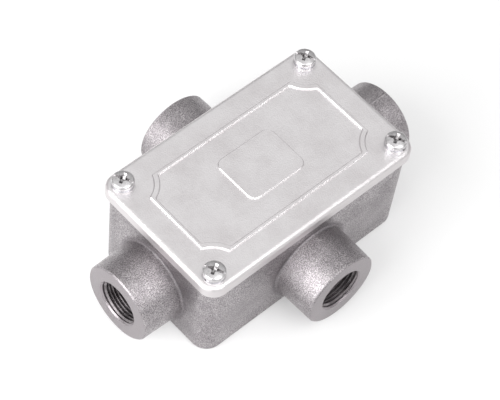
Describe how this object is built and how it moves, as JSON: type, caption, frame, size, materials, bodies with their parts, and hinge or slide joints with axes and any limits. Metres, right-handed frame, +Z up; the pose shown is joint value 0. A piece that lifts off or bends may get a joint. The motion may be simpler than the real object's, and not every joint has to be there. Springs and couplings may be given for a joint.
{
  "type": "electrical junction box",
  "caption": "Cast aluminium conduit junction box with a hub on each side, threaded for 20 mm conduit, and a gasketed lid held by corner screws.",
  "frame": {"origin": "centre of the underside, in the middle of the overall size over the hubs", "axes": "+X along the long side of the box and the end hubs, +Y along the side hubs, +Z up through the lid"},
  "size_m": [0.15, 0.106, 0.0555],
  "materials": {
    "body_casting": "as cast, tumbled",
    "lid_casting": "die cast, bright",
    "gasket_rubber": "matt moulded rubber",
    "zinc_steel": "bright zinc plated",
    "spring_steel": "zinc plated spring steel",
    "earth_brass": "plain turned brass"
  },
  "bodies": {
    "box": {"box_body": "body_casting"},
    "cover": {"lid": "lid_casting", "lid_gasket": "gasket_rubber"},
    "screw_washers_1": {"lid_flat_washer_1": "zinc_steel", "lid_spring_washer_1": "spring_steel"},
    "screw_1": {"lid_screw_1": "zinc_steel"},
    "screw_washers_2": {"lid_flat_washer_2": "zinc_steel", "lid_spring_washer_2": "spring_steel"},
    "screw_2": {"lid_screw_2": "zinc_steel"},
    "screw_washers_3": {"lid_flat_washer_3": "zinc_steel", "lid_spring_washer_3": "spring_steel"},
    "screw_3": {"lid_screw_3": "zinc_steel"},
    "screw_washers_4": {"lid_flat_washer_4": "zinc_steel", "lid_spring_washer_4": "spring_steel"},
    "screw_4": {"lid_screw_4": "zinc_steel"},
    "earth_washers": {"earth_flat_washer": "earth_brass", "earth_spring_washer": "spring_steel"},
    "earth_screw": {"earth_screw": "earth_brass"}
  },
  "joints": [
    {"name": "lid_lift", "type": "slide", "parent": "box", "child": "cover", "axis": [0, 0, 1], "range_m": [0, 0.06]},
    {"name": "washers_1_rise", "type": "slide", "parent": "cover", "child": "screw_washers_1", "axis": [0, 0, 1], "range_m": [0, 0.008]},
    {"name": "screw_1_turn", "type": "hinge", "parent": "screw_washers_1", "child": "screw_1", "pos_m": [-0.05, 0.0275, 0.05], "axis": [0, 0, 1], "range_deg": [0, 3605]},
    {"name": "washers_2_rise", "type": "slide", "parent": "cover", "child": "screw_washers_2", "axis": [0, 0, 1], "range_m": [0, 0.008]},
    {"name": "screw_2_turn", "type": "hinge", "parent": "screw_washers_2", "child": "screw_2", "pos_m": [-0.05, -0.0275, 0.05], "axis": [0, 0, 1], "range_deg": [0, 3605]},
    {"name": "washers_3_rise", "type": "slide", "parent": "cover", "child": "screw_washers_3", "axis": [0, 0, 1], "range_m": [0, 0.008]},
    {"name": "screw_3_turn", "type": "hinge", "parent": "screw_washers_3", "child": "screw_3", "pos_m": [0.05, -0.0275, 0.05], "axis": [0, 0, 1], "range_deg": [0, 3605]},
    {"name": "washers_4_rise", "type": "slide", "parent": "cover", "child": "screw_washers_4", "axis": [0, 0, 1], "range_m": [0, 0.008]},
    {"name": "screw_4_turn", "type": "hinge", "parent": "screw_washers_4", "child": "screw_4", "pos_m": [0.05, 0.0275, 0.05], "axis": [0, 0, 1], "range_deg": [0, 3605]},
    {"name": "earth_washers_rise", "type": "slide", "parent": "box", "child": "earth_washers", "axis": [0, 0, 1], "range_m": [0, 0.0035]},
    {"name": "earth_screw_turn", "type": "hinge", "parent": "earth_washers", "child": "earth_screw", "pos_m": [0.0464, -0.0136, 0.01], "axis": [0, 0, 1], "range_deg": [0, 1805]}
  ],
  "couplings": [
    {"joint": "screw_1_turn", "follows": "washers_1_rise", "rad_per_m": 7854},
    {"joint": "screw_2_turn", "follows": "washers_2_rise", "rad_per_m": 7854},
    {"joint": "screw_3_turn", "follows": "washers_3_rise", "rad_per_m": 7854},
    {"joint": "screw_4_turn", "follows": "washers_4_rise", "rad_per_m": 7854},
    {"joint": "earth_screw_turn", "follows": "earth_washers_rise", "rad_per_m": 8976}
  ]
}
